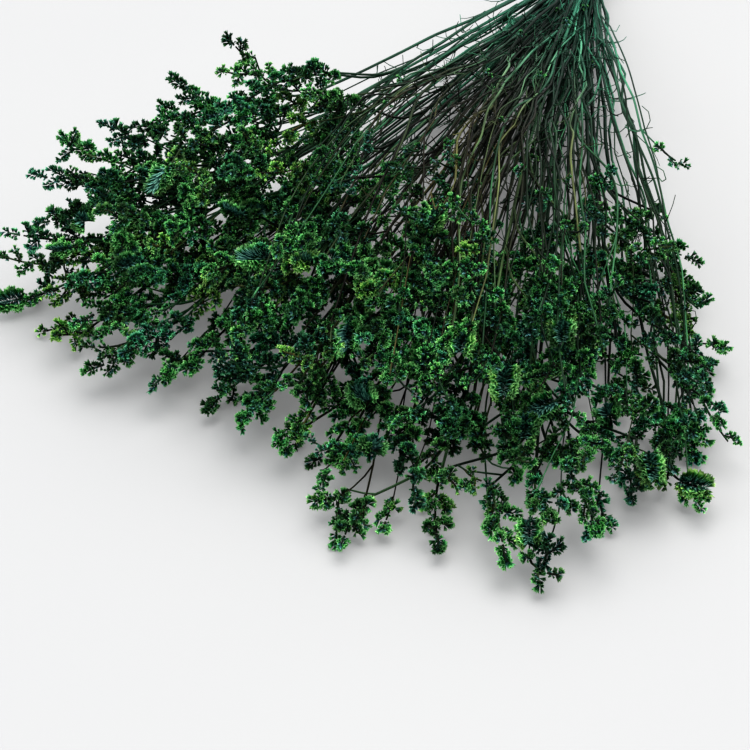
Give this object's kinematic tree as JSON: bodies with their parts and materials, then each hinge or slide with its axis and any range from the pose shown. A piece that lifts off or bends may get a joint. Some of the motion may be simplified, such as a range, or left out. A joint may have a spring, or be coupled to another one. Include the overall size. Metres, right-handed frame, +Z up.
{
  "type": "bunch of dried statice",
  "caption": "Tied bunch of dried, green-dyed statice lying on its side: thin stems fan out from a twine tie and end in spiky heads of small pointed florets.",
  "frame": {"origin": "on the surface under the middle of the tie, at the flat where the twine rests", "axes": "+Z up; the heads point along -Y and the cut ends along +Y; +X to the right for someone who looks along +Y"},
  "size_m": [0.3507, 0.6435, 0.0977],
  "materials": {
    "dyed_statice": "matt, dry and papery, dyed green",
    "twine": "matt natural twine"
  },
  "bodies": {
    "root": {"spray_01": "dyed_statice", "spray_02": "dyed_statice", "spray_03": "dyed_statice", "spray_04": "dyed_statice", "spray_05": "dyed_statice", "spray_06": "dyed_statice", "spray_07": "dyed_statice", "spray_08": "dyed_statice", "spray_09": "dyed_statice", "spray_10": "dyed_statice", "spray_11": "dyed_statice", "spray_12": "dyed_statice", "spray_13": "dyed_statice", "spray_14": "dyed_statice", "spray_15": "dyed_statice", "spray_16": "dyed_statice", "spray_17": "dyed_statice", "spray_18": "dyed_statice", "spray_19": "dyed_statice", "spray_20": "dyed_statice", "spray_21": "dyed_statice", "spray_22": "dyed_statice", "spray_23": "dyed_statice", "spray_24": "dyed_statice", "spray_25": "dyed_statice", "spray_26": "dyed_statice", "spray_27": "dyed_statice", "spray_28": "dyed_statice", "spray_29": "dyed_statice", "spray_30": "dyed_statice", "tie": "twine"}
  },
  "joints": []
}
